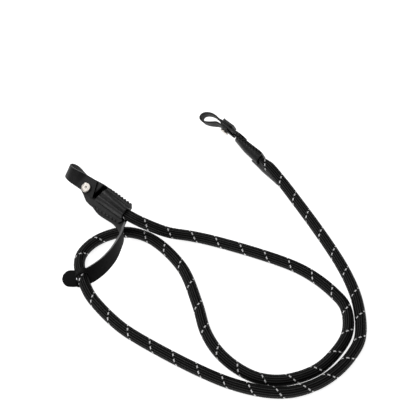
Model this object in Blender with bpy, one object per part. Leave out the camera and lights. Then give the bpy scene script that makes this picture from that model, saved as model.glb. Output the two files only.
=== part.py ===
"""A braided rope camera strap, laid out on a table.

A round braided rope runs from one leather end piece to the other. Each end piece is a leather strap folded
into a loop for a camera's lug and fastened by a stud and a ribbed clamp block, a leather base that carries
the rope, and a stitched leather patch that forms a sleeve over the rope. The strap runs on behind the
sleeve as a tail. The left tail is long, and the rope is threaded through a slit near its tip.

Metres, +Z up, the table is z = 0, and X runs along the two end pieces, from the loops to the sleeves.
An end piece's own frame has its origin at the stud on the base's middle plane, x towards the sleeve's
mouth, y across, and z out of the stud's face.
"""

import math

import bmesh
import bpy
import numpy as np
from mathutils import Matrix, Vector

# Rope
ROPE_DIAMETER = 0.0090
ROPE_STEP = 0.0135  # spacing of the tube's points
ROPE_RESOLUTION = 3
ROPE_INSIDE = 0.0160  # length held in each sleeve
MOUTH_PINCH = 0.58  # rope diameter at the sleeve's mouth, as a share
END_PINCH = 0.40  # rope diameter at its end in the sleeve, as a share
PINCH_LENGTH = 0.0100  # length outside the sleeve over which the rope swells to its full size

GAP = 0.0003  # between pieces that touch

# Strap: the strip with the lug loop and the tail
STRAP_WIDTH = 0.0136
STRAP_SHIFT = 0.0027  # from the stud to the strap's middle line
STRAP_TAPER = 0.11  # narrowing over one loop's length, as a share
STRAP_THICKNESS = 0.0015
STRAP_STEP = 0.0022  # spacing of the strip's sections
SHORT_END = 0.0070  # from the stud to the end of the layer that has no tail
END_SLANT = 0.36  # slant of that end, per length across
LOOP_START = 0.0080  # from the stud back to where the layers part
LOOP_LENGTH = 0.0172
TAIL_START = 0.0070  # from the stud to where the other layer turns into the tail
TAIL_WIDTH = 0.0134
SLIT_LENGTH = 0.0140
SLIT_FULLNESS = 0.62  # power of the opened slit's outline, less for a blunter one
SLIT_FROM_TIP = 0.0190  # from the tip to the slit's middle
SLIT_GAP = 0.0008
SLIT_RISE = 0.0072  # how far the rope lifts the slit's upper edge
SLIT_DROP = 0.0052  # how far it presses the lower edge down
SLIT_SPREAD = 0.0008  # how far it pushes the strip's edges out

# Base and sleeve patch
BASE_THICKNESS = 0.0014
BASE_HALF_WIDTH = 0.0106
BASE_NECK_END = 0.0045  # from the stud back to the end of the base's neck

# Base's outline: share of the way from the stud to the mouth, shares of the half width at -y and at +y
BASE_OUTLINE = (
    (-0.11, 0.34, 0.80),
    (0.00, 0.56, 0.90),
    (0.045, 0.68, 0.92),
    (0.14, 0.90, 0.96),
    (0.25, 0.98, 0.99),
    (0.37, 1.00, 1.00),
    (0.62, 0.99, 0.99),
    (1.00, 0.92, 0.92),
)

SLEEVE_START = 0.0138  # from the stud to the patch's open edge, on the middle line
SLEEVE_SLANT = 0.22  # how far the open edge slants away from the stud, per length across
SLEEVE_END = 0.0426  # from the stud to the sleeve's mouth
SLEEVE_CORNER = 0.0030
SLEEVE_BORDER = 0.0014  # width left outside the tunnel at the mouth
PATCH_THICKNESS = 0.0012
TUNNEL_HALF_WIDTH = 0.0060  # of the tunnel under the patch at its open edge
TUNNEL_SHIFT = 0.0016  # of the tunnel's middle line at the open edge, towards +y
MOUTH_HALF_WIDTH = 0.0054  # of the tunnel at the sleeve's mouth
PATCH_VALLEY = 0.0008  # depth of the valley between the patch's two ridges
PATCH_OPEN_RISE = 0.0026  # height of the tunnel at the patch's open edge

# Stud
HEAD_DIAMETER = 0.0082
HEAD_THICKNESS = 0.0015
NECK_LENGTH = 0.0005
NECK_DIAMETER = 0.0050
POST_DIAMETER = 0.0036
STUD_SIDES = 28

# Ribbed clamp block on the back
BLOCK_LENGTH = 0.0112
BLOCK_WIDTH = 0.0104
BLOCK_SHIFT = 0.0008  # from the stud to the block's middle, towards the sleeve
BLOCK_INSET = 0.0015  # from the strap's edge at +y to the block's
BLOCK_THICKNESS = 0.0020
BLOCK_SOCKET = 0.0012
RIB_COUNT = 7
RIB_DEPTH = 0.0007

# The part's origin in the layout below: the middle of the end pieces' box, on the table
ORIGIN = Vector((-0.0355, -0.0295, 0.0))

# Each end piece: the stud's place on the base's middle plane, its turns in degrees, and its loop.
# Yaw turns the sleeve in plan, slope lifts the loop, roll turns the stud's face towards -Y, and the bend
# is what the loop adds to them over its length.
LEFT = {
    "stud": (-0.0790, -0.0610, 0.0200),
    "yaw": 3.4,
    "slope": 2.0,
    "roll": 24.5,
    "bend": {"yaw": -12.0, "pitch": -18.0, "roll": 29.0},
    "loop_gap": 0.0068,
}
RIGHT = {
    "stud": (-0.0366, 0.0681, 0.0142),
    "yaw": -2.8,
    "slope": 2.2,
    "roll": 115.0,
    "bend": {"yaw": -3.0, "pitch": 28.0, "roll": 6.0},
    "loop_gap": 0.0067,
}

# Loop's profile, from the base's neck to the lug: share of the loop's length, share of its half height
LOOP_PROFILE = ((0.22, 0.76), (0.48, 1.00), (0.74, 0.96), (0.91, 0.66), (1.00, 0.00))

# Tails behind the sleeve: the centre's x, y, z in the end piece's frame, and the twist in degrees
LEFT_FLAP = (
    (0.0140, -0.0042, -0.0021, 1),
    (0.0210, -0.0061, -0.0023, 2),
    (0.0290, -0.0061, -0.0024, 2),
    (0.0360, -0.0060, -0.0024, 2),
    (0.0430, -0.0078, -0.0027, 3),
    (0.0467, -0.0106, 0.0012, 36),
)
RIGHT_FLAP = (
    (0.0140, 0.0, -0.0019, 0),
    (0.0210, 0.0, -0.0020, 0),
)

# The left tail past its sleeve and the right tongue: the centre's x, y, z, and the lean in degrees from
# flat, over the left side of the way along
LEFT_TAIL = (
    (-0.0308, -0.0700, 0.0163, 78),
    (-0.0288, -0.0720, 0.0166, 85),
    (-0.0267, -0.0743, 0.0164, 90),
    (-0.0241, -0.0819, 0.0140, 99),
    (-0.0224, -0.0901, 0.0113, 108),
    (-0.0222, -0.1003, 0.0089, 116),
    (-0.0234, -0.1087, 0.0076, 124),
    (-0.0258, -0.1164, 0.0066, 130),
    (-0.0308, -0.1234, 0.0062, 135),
    (-0.0365, -0.1275, 0.0054, 142),
    (-0.0410, -0.1293, 0.0047, 148),
)
TONGUE_WIDTH = 0.0098
RIGHT_TONGUE = (
    (-0.0030, 0.0674, 0.0008, 180),
    (0.0040, 0.0660, 0.0008, 180),
    (0.0110, 0.0644, 0.0008, 180),
    (0.0190, 0.0632, 0.0008, 180),
    (0.0270, 0.0620, 0.0008, 180),
    (0.0335, 0.0606, 0.0008, 180),
)

# Rope's route between the sleeves: centre points x, y, z
ROPE_ROUTE = (
    (-0.0292, -0.0584, 0.0205),
    (-0.0211, -0.0550, 0.0173),
    (-0.0047, -0.0451, 0.0093),
    (0.0110, -0.0334, 0.0056),
    (0.0300, -0.0235, 0.0045),
    (0.0890, -0.0020, 0.0045),
    (0.1100, 0.0010, 0.0045),
    (0.1310, -0.0005, 0.0045),
    (0.1455, -0.0050, 0.0045),
    (0.1605, -0.0235, 0.0045),
    (0.1630, -0.0540, 0.0045),
    (0.1580, -0.0705, 0.0045),
    (0.1460, -0.0875, 0.0045),
    (0.1315, -0.0970, 0.0045),
    (0.1150, -0.1005, 0.0045),
    (0.0965, -0.0995, 0.0045),
    (0.0780, -0.0930, 0.0045),
    (0.0560, -0.0780, 0.0045),
    (0.0240, -0.0605, 0.0045),
    (-0.0135, -0.0565, 0.0045),
    (-0.0330, -0.0650, 0.0045),
    (-0.0415, -0.0765, 0.0045),
    (-0.0460, -0.0905, 0.0045),
    (-0.0445, -0.1045, 0.0052),
    (-0.0375, -0.1140, 0.0066),
    (-0.0280, -0.1200, 0.0070),
    (-0.0185, -0.1250, 0.0056),
    (-0.0095, -0.1280, 0.0046),
    (0.0155, -0.1315, 0.0045),
    (0.0370, -0.1310, 0.0045),
    (0.1190, -0.1135, 0.0045),
    (0.1530, -0.0944, 0.0045),
    (0.1671, -0.0748, 0.0045),
    (0.1731, -0.0551, 0.0045),
    (0.1736, -0.0349, 0.0045),
    (0.1700, -0.0197, 0.0045),
    (0.1525, 0.0025, 0.0045),
    (0.1245, 0.0220, 0.0045),
    (0.0470, 0.0540, 0.0048),
    (0.0270, 0.0597, 0.0072),
    (0.0175, 0.0615, 0.0094),
)

LEATHER = (0.012, 0.012, 0.013, 1.0)
BRAID = (0.010, 0.010, 0.012, 1.0)
NICKEL = (0.78, 0.76, 0.73, 1.0)
MOULDED = (0.016, 0.016, 0.017, 1.0)


def clear_scene():
    for old in list(bpy.data.objects):
        bpy.data.objects.remove(old, do_unlink=True)


def material(name, colour, roughness, metallic=0.0):
    made = bpy.data.materials.new(name)
    made.use_nodes = True
    shader = made.node_tree.nodes["Principled BSDF"]
    shader.inputs["Base Color"].default_value = colour
    shader.inputs["Roughness"].default_value = roughness
    shader.inputs["Metallic"].default_value = metallic
    made.diffuse_color = colour
    return made


def add_object(name, data, finish):
    made = bpy.data.objects.new(name, data)
    bpy.context.scene.collection.objects.link(made)
    made.data.materials.append(finish)
    return made


def mesh_object(name, points, faces, finish):
    data = bpy.data.meshes.new(name)
    data.from_pydata([tuple(p) for p in points], [], faces)
    shape = bmesh.new()
    shape.from_mesh(data)
    bmesh.ops.recalc_face_normals(shape, faces=shape.faces)
    shape.to_mesh(data)
    shape.free()
    data.shade_smooth()
    data.set_sharp_from_angle(angle=math.radians(35))
    return add_object(name, data, finish)


def smooth_rows(rows, step):
    """Rows of numbers a step apart on a centripetal Catmull-Rom curve through the given rows."""
    given = [np.array(row, float) for row in rows]
    ends = [2 * given[0] - given[1]] + given + [2 * given[-1] - given[-2]]
    fine = []
    for a, b, c, d in zip(ends, ends[1:], ends[2:], ends[3:]):
        t1 = np.linalg.norm(b - a) ** 0.5
        t2 = t1 + np.linalg.norm(c - b) ** 0.5
        t3 = t2 + np.linalg.norm(d - c) ** 0.5
        for t in np.linspace(t1, t2, 12, endpoint=False):
            ab = a + (b - a) * t / t1
            bc = b + (c - b) * (t - t1) / (t2 - t1)
            cd = c + (d - c) * (t - t2) / (t3 - t2)
            abc = ab + (bc - ab) * t / t2
            bcd = bc + (cd - bc) * (t - t1) / (t3 - t1)
            fine.append(abc + (bcd - abc) * (t - t1) / (t2 - t1))
    line = np.array(fine + [given[-1]])
    along = np.concatenate([[0], np.cumsum(np.linalg.norm(np.diff(line[:, :3], axis=0), axis=1))])
    at = np.linspace(0, along[-1], max(2, round(along[-1] / step)) + 1)
    return np.stack([np.interp(at, along, column) for column in line.T], axis=1)


def end_frame(end):
    """The matrix from an end piece's own frame to the part's frame."""
    return (
        Matrix.Translation(Vector(end["stud"]) - ORIGIN)
        @ Matrix.Rotation(math.radians(end["yaw"]), 4, "Z")
        @ Matrix.Rotation(math.radians(end["slope"]), 4, "Y")
        @ Matrix.Rotation(math.radians(end["roll"]), 4, "X")
    )


def bent(point, bend):
    """A point in an end piece's frame, moved with the loop as it bends away from the stud."""
    x, y, z = point
    start = -LOOP_START / 2
    if x >= start:
        return Vector(point)
    pieces = 24
    step = (start - x) / pieces
    place, turn = Vector((start, 0, 0)), Matrix.Identity(3)
    for _ in range(pieces):
        share = step / LOOP_LENGTH
        for name, axis in (("yaw", "Z"), ("pitch", "Y"), ("roll", "X")):
            turn = turn @ Matrix.Rotation(math.radians(bend[name] * share), 3, axis)
        place = place + turn @ Vector((-step, 0, 0))
    return place + turn @ Vector((0, y, z))


def rope_share(x):
    """Share of the rope's full diameter at x from the stud."""
    if x > SLEEVE_END:
        return MOUTH_PINCH + (1 - MOUTH_PINCH) * min(1.0, (x - SLEEVE_END) / PINCH_LENGTH)
    return MOUTH_PINCH + (END_PINCH - MOUTH_PINCH) * min(1.0, (SLEEVE_END - x) / ROPE_INSIDE)


def rope_height(x):
    """Height of the rope's axis over the base's middle plane, in the sleeve."""
    return BASE_THICKNESS / 2 + GAP + rope_share(x) * ROPE_DIAMETER / 2


def make_rope(left, right, finish):
    inside = [SLEEVE_END - ROPE_INSIDE, SLEEVE_END - ROPE_INSIDE / 2]
    mouth = Vector((SLEEVE_END, 0, rope_height(SLEEVE_END)))
    route = [left @ mouth] + [Vector(p) - ORIGIN for p in ROPE_ROUTE] + [right @ mouth]
    points = [left @ Vector((x, 0, rope_height(x))) for x in inside]
    points += list(smooth_rows(route, ROPE_STEP))
    points += [right @ Vector((x, 0, rope_height(x))) for x in reversed(inside)]
    data = bpy.data.curves.new("rope", "CURVE")
    data.dimensions = "3D"
    data.bevel_depth = ROPE_DIAMETER / 2
    data.bevel_resolution = ROPE_RESOLUTION
    data.use_fill_caps = True
    spline = data.splines.new("POLY")
    spline.points.add(len(points) - 1)
    for k, p in enumerate(points):
        end = left if k < len(points) / 2 else right
        local = end.inverted() @ Vector(p)
        near = (local - Vector((SLEEVE_END, 0, 0))).length < ROPE_INSIDE + PINCH_LENGTH
        spline.points[k].co = (p[0], p[1], max(p[2], ROPE_DIAMETER / 2), 1)
        spline.points[k].radius = rope_share(local.x) if near else 1.0
    return add_object("rope", data, finish)


def strap_profile(gap):
    """Middle line of the strap, from its short end round the loop to the tail: x, y, z in the end's frame."""
    layer = BASE_THICKNESS / 2 + GAP + STRAP_THICKNESS / 2
    half = (gap + STRAP_THICKNESS) / 2
    branch = [(SHORT_END, layer), (SHORT_END / 2, layer), (-LOOP_START / 2, layer), (-LOOP_START, layer)]
    branch += [(-LOOP_START - LOOP_LENGTH * along, half * high) for along, high in LOOP_PROFILE]
    other = [(x, -z) for x, z in branch[-2:1:-1]]
    line = [(x, STRAP_SHIFT, z) for x, z in branch + other]
    return line + [(TAIL_START / 2, STRAP_SHIFT * 0.4, -layer), (TAIL_START, -STRAP_SHIFT * 0.3, -layer)]


def tail_sections(table, width):
    """Lower and upper edge point of each of a strip's sections."""
    centres = [Vector(row[:3]) - ORIGIN for row in table]
    sections = []
    for k, row in enumerate(table):
        ahead = centres[min(k + 1, len(centres) - 1)] - centres[max(k - 1, 0)]
        left = Vector((-ahead.y, ahead.x, 0)).normalized()
        lean = math.radians(row[3])
        across = (left * math.cos(lean) + Vector((0, 0, math.sin(lean)))) * width / 2
        sections.append((*(centres[k] - across), *(centres[k] + across)))
    return sections


def round_end(rows):
    """Draws the strip's edges together over the last half width, as a rounded tip."""
    order = rows[::-1]
    middle = (order[:, :3] + order[:, 3:]) / 2
    along = np.concatenate([[0], np.cumsum(np.linalg.norm(np.diff(middle, axis=0), axis=1))])
    radius = np.linalg.norm(order[0, 3:] - order[0, :3]) / 2
    for k, far in enumerate(along):
        if far < radius:
            share = math.sqrt(max(0.06, 1 - (1 - far / radius) ** 2))
            order[k, :3] = middle[k] + (order[k, :3] - middle[k]) * share
            order[k, 3:] = middle[k] + (order[k, 3:] - middle[k]) * share


def make_strip(name, sections, finish, slit_from_tip=None):
    """A leather strip from its sections' lower and upper edge points, with a rounded tip and maybe a slit."""
    rows = smooth_rows(sections, STRAP_STEP)
    round_end(rows)
    count = len(rows)
    half_slit = SLIT_LENGTH / STRAP_STEP / 2
    centre = count - 1 - slit_from_tip / STRAP_STEP if slit_from_tip else -count
    points, faces = [], []
    for k, row in enumerate(rows):
        low, high = Vector(row[:3]), Vector(row[3:])
        middle, across = (low + high) / 2, (high - low).normalized()
        inner_low, inner_high = middle - across * SLIT_GAP / 2, middle + across * SLIT_GAP / 2
        swell = (1 - min(1.0, abs(k - centre) / half_slit) ** 2) ** SLIT_FULLNESS
        inner_low = inner_low + Vector((0, 0, -SLIT_DROP * swell))
        inner_high = inner_high + Vector((0, 0, SLIT_RISE * swell))
        spread = across * SLIT_SPREAD * swell
        points += [low - spread, inner_low, inner_high, high + spread]
    for k in range(count - 1):
        for c in range(3):
            if c == 1 and abs(k + 0.5 - centre) < half_slit:
                continue
            i = 4 * k + c
            faces.append((i, i + 4, i + 5, i + 1))
    made = mesh_object(name, points, faces, finish)
    solid = made.modifiers.new("thickness", "SOLIDIFY")
    solid.thickness = STRAP_THICKNESS
    solid.offset = 0
    solid.use_even_offset = True
    return made


def make_strap(name, end, flap, tail, finish, slit_from_tip=None):
    frame = end_frame(end)
    sections = []
    for k, (x, y, z) in enumerate(strap_profile(end["loop_gap"])):
        half = STRAP_WIDTH / 2 * (1 + STRAP_TAPER * x / LOOP_LENGTH)
        slant = END_SLANT * half if k == 0 else 0
        low = frame @ bent((x + slant, y - half, z), end["bend"])
        high = frame @ bent((x - slant, y + half, z), end["bend"])
        sections.append((*low, *high))
    for x, y, z, twist in flap:
        turn = math.radians(twist)
        across = Vector((0, math.cos(turn), math.sin(turn))) * TAIL_WIDTH / 2
        centre = Vector((x, y, z))
        sections.append((*(frame @ (centre - across)), *(frame @ (centre + across))))
    sections += tail_sections(tail, TAIL_WIDTH)
    return make_strip(name, sections, finish, slit_from_tip)


def half_width(x, side):
    """Half width of the base and of the patch's border at x from the stud, on the side at -y or +y."""
    at = [SLEEVE_END * row[0] for row in BASE_OUTLINE]
    width = float(np.interp(x, at, [BASE_HALF_WIDTH * row[1 if side < 0 else 2] for row in BASE_OUTLINE]))
    past = (x - SLEEVE_END) / SLEEVE_CORNER + 1
    if past > 0:
        width -= (width - MOUTH_HALF_WIDTH - SLEEVE_BORDER) * (1 - math.sqrt(max(0.0, 1 - past**2)))
    return width


def tunnel_half_width(x):
    share = (x - SLEEVE_START) / (SLEEVE_END - SLEEVE_START)
    return TUNNEL_HALF_WIDTH + (MOUTH_HALF_WIDTH - TUNNEL_HALF_WIDTH) * share


def corner_stations():
    """Places along the rounded corner at the mouth."""
    return [SLEEVE_END - SLEEVE_CORNER * (1 - math.sin(math.radians(90 * k / 4))) for k in range(5)]


def make_base(name, frame, finish):
    xs = list(np.linspace(-BASE_NECK_END, 0, 3)) + list(np.linspace(0, SLEEVE_END - SLEEVE_CORNER, 16))[1:-1]
    xs += corner_stations()
    outline = [(x, -half_width(x, -1)) for x in xs] + [(x, half_width(x, 1)) for x in reversed(xs)]
    count, half = len(outline), BASE_THICKNESS / 2
    points = [(x, y, z) for z in (-half, half) for x, y in outline]
    faces = [(k, (k + 1) % count, count + (k + 1) % count, count + k) for k in range(count)]
    for k in range(len(xs) - 1):
        face = (k, k + 1, count - 2 - k, count - 1 - k)
        faces += [face, tuple(count + i for i in face)]
    made = mesh_object(name, points, faces, finish)
    made.matrix_world = frame
    return made


def tunnel_rise(x):
    """Height that the patch rises over its own border at x from the stud, before the valley."""
    clear = 2 * GAP + rope_share(max(x, SLEEVE_END - ROPE_INSIDE)) * ROPE_DIAMETER + PATCH_VALLEY
    rope_end = SLEEVE_END - ROPE_INSIDE
    if x >= rope_end:
        return clear
    share = (x - SLEEVE_START) / (rope_end - SLEEVE_START)
    return PATCH_OPEN_RISE + (clear - PATCH_OPEN_RISE) * share


def make_patch(name, frame, finish):
    xs = list(np.linspace(SLEEVE_START, SLEEVE_END - SLEEVE_CORNER, 12))[:-1] + corner_stations()
    shares = (0.0, 0.16, 0.34, 0.52, 0.68, 0.82, 0.92, 0.98, 1.0)
    floor = BASE_THICKNESS / 2 + GAP + PATCH_THICKNESS / 2
    points, faces = [], []
    for x in xs:
        tunnel = []
        left = (SLEEVE_END - x) / (SLEEVE_END - SLEEVE_START)
        for share in shares:
            dome = (1 - share**2.6) ** 0.62
            valley = math.exp(-((share / 0.26) ** 2))
            rise = tunnel_rise(x) * dome - PATCH_VALLEY * valley
            tunnel.append((tunnel_half_width(x) * share, floor + max(0.0, rise)))
        shift = TUNNEL_SHIFT * left
        row = [(-half_width(x, -1), floor)] + [(shift - y, z) for y, z in reversed(tunnel[1:])]
        row += [(shift + y, z) for y, z in tunnel] + [(half_width(x, 1), floor)]
        points += [(x + SLEEVE_SLANT * left * y, y, z) for y, z in row]
    across = len(points) // len(xs)
    for k in range(len(xs) - 1):
        for c in range(across - 1):
            i = across * k + c
            faces.append((i, i + across, i + across + 1, i + 1))
    made = mesh_object(name, points, faces, finish)
    solid = made.modifiers.new("thickness", "SOLIDIFY")
    solid.thickness = PATCH_THICKNESS
    solid.offset = 0
    solid.use_even_offset = True
    made.matrix_world = frame
    return made


def turned(name, profile, sides, finish):
    """A solid turned about z from a profile of radius and height, from its lower to its upper centre."""
    points = [(0, 0, profile[0][1])]
    for radius, height in profile:
        for k in range(sides):
            turn = 2 * math.pi * k / sides
            points.append((radius * math.cos(turn), radius * math.sin(turn), height))
    points.append((0, 0, profile[-1][1]))
    faces = [(0, 1 + (k + 1) % sides, 1 + k) for k in range(sides)]
    for ring in range(len(profile) - 1):
        a, b = 1 + ring * sides, 1 + (ring + 1) * sides
        faces += [(a + k, a + (k + 1) % sides, b + (k + 1) % sides, b + k) for k in range(sides)]
    last, top = 1 + (len(profile) - 1) * sides, len(points) - 1
    faces += [(last + k, last + (k + 1) % sides, top) for k in range(sides)]
    return mesh_object(name, points, faces, finish)


def front_face():
    """Height of the front layer's outer face over the base's middle plane."""
    return BASE_THICKNESS / 2 + GAP + STRAP_THICKNESS


def make_stud(name, frame, finish):
    post, neck, head = POST_DIAMETER / 2, NECK_DIAMETER / 2, HEAD_DIAMETER / 2
    seat = front_face() + GAP
    under = seat + NECK_LENGTH
    top = under + HEAD_THICKNESS
    edge = HEAD_THICKNESS * 0.25
    groove, dimple = head * 0.62, head * 0.16
    profile = (
        (post, -front_face() - GAP - BLOCK_SOCKET + GAP),
        (post, seat),
        (neck, seat),
        (neck, under),
        (head - edge, under),
        (head, under + edge),
        (head, top - edge * 1.6),
        (head - edge * 1.4, top - edge * 0.3),
        (groove + edge, top),
        (groove, top - edge * 0.6),
        (groove - edge, top),
        (dimple + edge * 0.5, top),
        (dimple, top - edge),
    )
    made = turned(name, profile, STUD_SIDES, finish)
    made.matrix_world = frame
    return made


def make_block(name, frame, finish):
    near = -front_face() - GAP
    far = near - BLOCK_THICKNESS
    pitch = BLOCK_LENGTH / (RIB_COUNT - 0.5)
    first = BLOCK_SHIFT - BLOCK_LENGTH / 2
    comb = [(first, near)]
    for k in range(RIB_COUNT):
        start = first + pitch * k
        comb += [(start, far + RIB_DEPTH), (start, far)]
        comb += [(start + pitch / 2, far), (start + pitch / 2, far + RIB_DEPTH)]
    comb = [comb[0]] + comb[2:-1] + [(first + BLOCK_LENGTH, near)]
    high, count = STRAP_SHIFT + STRAP_WIDTH / 2 - BLOCK_INSET, len(comb)
    points = [(x, y, z) for y in (high - BLOCK_WIDTH, high) for x, z in comb]
    faces = [tuple(range(count)), tuple(reversed(range(count, 2 * count)))]
    faces += [(k, (k + 1) % count, count + (k + 1) % count, count + k) for k in range(count)]
    made = mesh_object(name, points, faces, finish)
    made.matrix_world = frame
    return made


def drill(made, frame, name, diameter, low, high):
    """Cuts a round hole along the stud's axis."""
    radius = diameter / 2
    cutter = turned(name, ((radius, low), (radius, high)), STUD_SIDES, made.data.materials[0])
    cutter.matrix_world = frame
    cutter.hide_render = True
    cutter.display_type = "WIRE"
    cut = made.modifiers.new("stud_hole", "BOOLEAN")
    cut.operation = "DIFFERENCE"
    cut.object = cutter


def make_end(side, end, flap, tail, finishes, slit_from_tip=None):
    frame = end_frame(end)
    leather, nickel, moulded = finishes
    hole = POST_DIAMETER + 2 * GAP
    through = front_face() + 2 * GAP
    strap = make_strap(f"{side}_strap", end, flap, tail, leather, slit_from_tip)
    drill(strap, frame, f"{side}_strap_drill", hole, -through, through)
    base = make_base(f"{side}_base", frame, leather)
    drill(base, frame, f"{side}_base_drill", hole, -through, through)
    block = make_block(f"{side}_clamp_block", frame, moulded)
    drill(block, frame, f"{side}_block_drill", hole, -front_face() - GAP - BLOCK_SOCKET, 0)
    make_patch(f"{side}_sleeve_patch", frame, leather)
    make_stud(f"{side}_stud", frame, nickel)
    return frame


def main():
    clear_scene()
    leather = material("black_leather", LEATHER, 0.48)
    braid = material("black_braid", BRAID, 0.62)
    nickel = material("nickel", NICKEL, 0.22, metallic=1.0)
    moulded = material("black_moulding", MOULDED, 0.55)
    finishes = (leather, nickel, moulded)
    left = make_end("left", LEFT, LEFT_FLAP, LEFT_TAIL, finishes, slit_from_tip=SLIT_FROM_TIP)
    right = make_end("right", RIGHT, RIGHT_FLAP, (), finishes)
    make_strip("right_tongue", tail_sections(RIGHT_TONGUE, TONGUE_WIDTH), leather)
    make_rope(left, right, braid)


main()
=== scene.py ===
"""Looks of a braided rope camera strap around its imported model.

Metres, +Z up, the table is z = 0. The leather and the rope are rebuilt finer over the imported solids, from
the same named sizes. Only the slit is shorter and blunter than the solid's, and sits tight round the rope.
An end piece's own frame has its origin at the stud on the base's middle plane, x towards the sleeve's
mouth, y across, and z out of the stud's face.
"""

import math

import bpy
import numpy as np
from mathutils import Matrix, Vector


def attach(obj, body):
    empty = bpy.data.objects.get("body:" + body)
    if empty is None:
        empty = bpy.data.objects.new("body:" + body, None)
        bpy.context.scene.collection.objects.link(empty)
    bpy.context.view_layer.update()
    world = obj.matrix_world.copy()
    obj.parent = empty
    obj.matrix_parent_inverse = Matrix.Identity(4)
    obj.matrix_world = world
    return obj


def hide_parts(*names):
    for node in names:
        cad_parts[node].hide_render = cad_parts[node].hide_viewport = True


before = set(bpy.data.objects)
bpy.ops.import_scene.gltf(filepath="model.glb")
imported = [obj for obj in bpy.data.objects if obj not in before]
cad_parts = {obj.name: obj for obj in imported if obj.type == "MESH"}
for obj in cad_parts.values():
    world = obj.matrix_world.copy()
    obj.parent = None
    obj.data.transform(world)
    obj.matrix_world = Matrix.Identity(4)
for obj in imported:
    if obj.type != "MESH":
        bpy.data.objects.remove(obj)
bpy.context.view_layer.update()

# Camera: a view from 54 degrees above the table, turned about the strap
FOCAL_PIXELS = 1003
IMAGE_SIDE = 416
SENSOR = 36.0
CAMERA_DISTANCE = 0.843
CAMERA_ELEVATION = 54.0
CAMERA_AZIMUTH = 40.7
LOOK_AT = Vector((0.0355, 0.0295, 0.0))

# Rope
ROPE_DIAMETER = 0.0090
ROPE_INSIDE = 0.0160
MOUTH_PINCH = 0.58
END_PINCH = 0.40
PINCH_LENGTH = 0.0100
ROPE_FLATTENING = 1.6  # the rope's width over its height where it is pinched
ROPE_RINGS = 2040
ROPE_SIDES = 48
BRAID_PITCH = 0.02072  # length of one turn of a yarn
BRAID_YARNS = 16  # yarns that run each way
FLECK_SHARE = 1.0  # half length of a white fleck, in yarn widths
BRAID_START = 0.0070  # of the first turn, before the rope's end in the left sleeve
YARN_RELIEF = 0.00030
RELIEF_LEVEL = 0.7  # share of a yarn's mound that lies on the rope's own radius
ROPE_STEP = 0.0004
ROPE_SMOOTHINGS = 12

GAP = 0.0003
CURVE_STEPS = 24  # points between two rows of a table, before they are spaced evenly

# Strap
STRAP_WIDTH = 0.0136
STRAP_SHIFT = 0.0027  # from the stud to the strap's middle line
STRAP_TAPER = 0.11  # narrowing over one loop's length, as a share
STRAP_THICKNESS = 0.0015
STRAP_STEP = 0.0012
SHORT_END = 0.0070
END_SLANT = 0.36
LOOP_START = 0.0080
LOOP_LENGTH = 0.0172
TAIL_START = 0.0070
TAIL_WIDTH = 0.0134
SLIT_LENGTH = 0.0110
SLIT_FULLNESS = 0.50  # power of the opened slit's outline, less for a blunter one
SLIT_FROM_TIP = 0.0190  # from the tip to the slit's middle
SLIT_GAP = 0.0008
SLIT_RISE = 0.0072  # how far the rope lifts the slit's upper edge
SLIT_DROP = 0.0052  # how far it presses the lower edge down
SLIT_SPREAD = 0.0008  # how far it pushes the strip's edges out
STRIP_SHARES = (0.0, 0.3, 0.6, 0.85)  # columns of a strip's half, from its edge inwards
TIP_SHARE = 0.06  # square of the width that is left at a strip's tip
STRIP_BEVEL = 0.00035
TONGUE_WIDTH = 0.0098

# Base and sleeve patch
BASE_THICKNESS = 0.0014
BASE_HALF_WIDTH = 0.0106
BASE_NECK_END = 0.0045
# Shares of the sleeve's end, and of the half width towards -y and +y
BASE_OUTLINE = (
    (-0.11, 0.34, 0.80),
    (0.00, 0.56, 0.90),
    (0.045, 0.68, 0.92),
    (0.14, 0.90, 0.96),
    (0.25, 0.98, 0.99),
    (0.37, 1.00, 1.00),
    (0.62, 0.99, 0.99),
    (1.00, 0.92, 0.92),
)
SLEEVE_START = 0.0138
SLEEVE_SLANT = 0.22
SLEEVE_END = 0.0426
SLEEVE_CORNER = 0.0030
SLEEVE_BORDER = 0.0014
PATCH_THICKNESS = 0.0012
TUNNEL_HALF_WIDTH = 0.0060
TUNNEL_SHIFT = 0.0016
MOUTH_HALF_WIDTH = 0.0054
PATCH_VALLEY = 0.0013  # depth of the dip between the two ridges
PATCH_OPEN_RISE = 0.0026  # how far the open edge stands over the border
DOME_POWER = 2.6  # of the patch's section over the rope
DOME_FULLNESS = 0.62
VALLEY_WIDTH = 0.22  # as a share of the tunnel's half width
TUNNEL_COLUMNS = 22
BORDER_SHARES = (0.12, 0.28, 0.44, 0.60, 0.78, 0.92, 1.0)
BASE_SECTIONS = 90
BASE_COLUMNS = 16
PATCH_SECTIONS = 60
CORNER_STEPS = 8
PLATE_BEVEL = 0.0003

# Stitches along the sleeve's borders
STITCH_PITCH = 0.0033
STITCH_LENGTH = 0.0023
STITCH_RADIUS = 0.00045
STITCH_INSET = 0.0014
STITCH_MARGIN = 0.0020  # from the patch's open edge to the first stitch's run
STITCH_END_MARGIN = 0.0010
STITCH_RINGS = 9
STITCH_SIDES = 8
SCALLOP = 0.00050
SCALLOP_START = 0.0010  # how far before the patch the scallops begin
SEAM_DIP = 0.00035
HOLE_LENGTH = 0.0006
HOLE_WIDTH = 0.0007

# Painted shadow: a dark band on the base in front of the patch's open edge, where the edge shades it
PAINTED_SHADOW_LENGTH = 0.0070
PAINTED_SHADOW_HALF_WIDTH = 0.0082
PAINTED_SHADOW_SHIFT = 0.0030
PAINTED_SHADOW_FADE = 0.25  # share of its length and half width over which it fades

# Stud
HEAD_DIAMETER = 0.0082
HEAD_THICKNESS = 0.0015
NECK_LENGTH = 0.0005
NECK_DIAMETER = 0.0050
STUD_SIDES = 72
GROOVE_SHARE = 0.62  # radius of the ring groove, as a share of the head's
DIMPLE_SHARE = 0.13

BLOCK_BEVEL = 0.00015

ORIGIN = Vector((-0.0355, -0.0295, 0.0))

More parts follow.
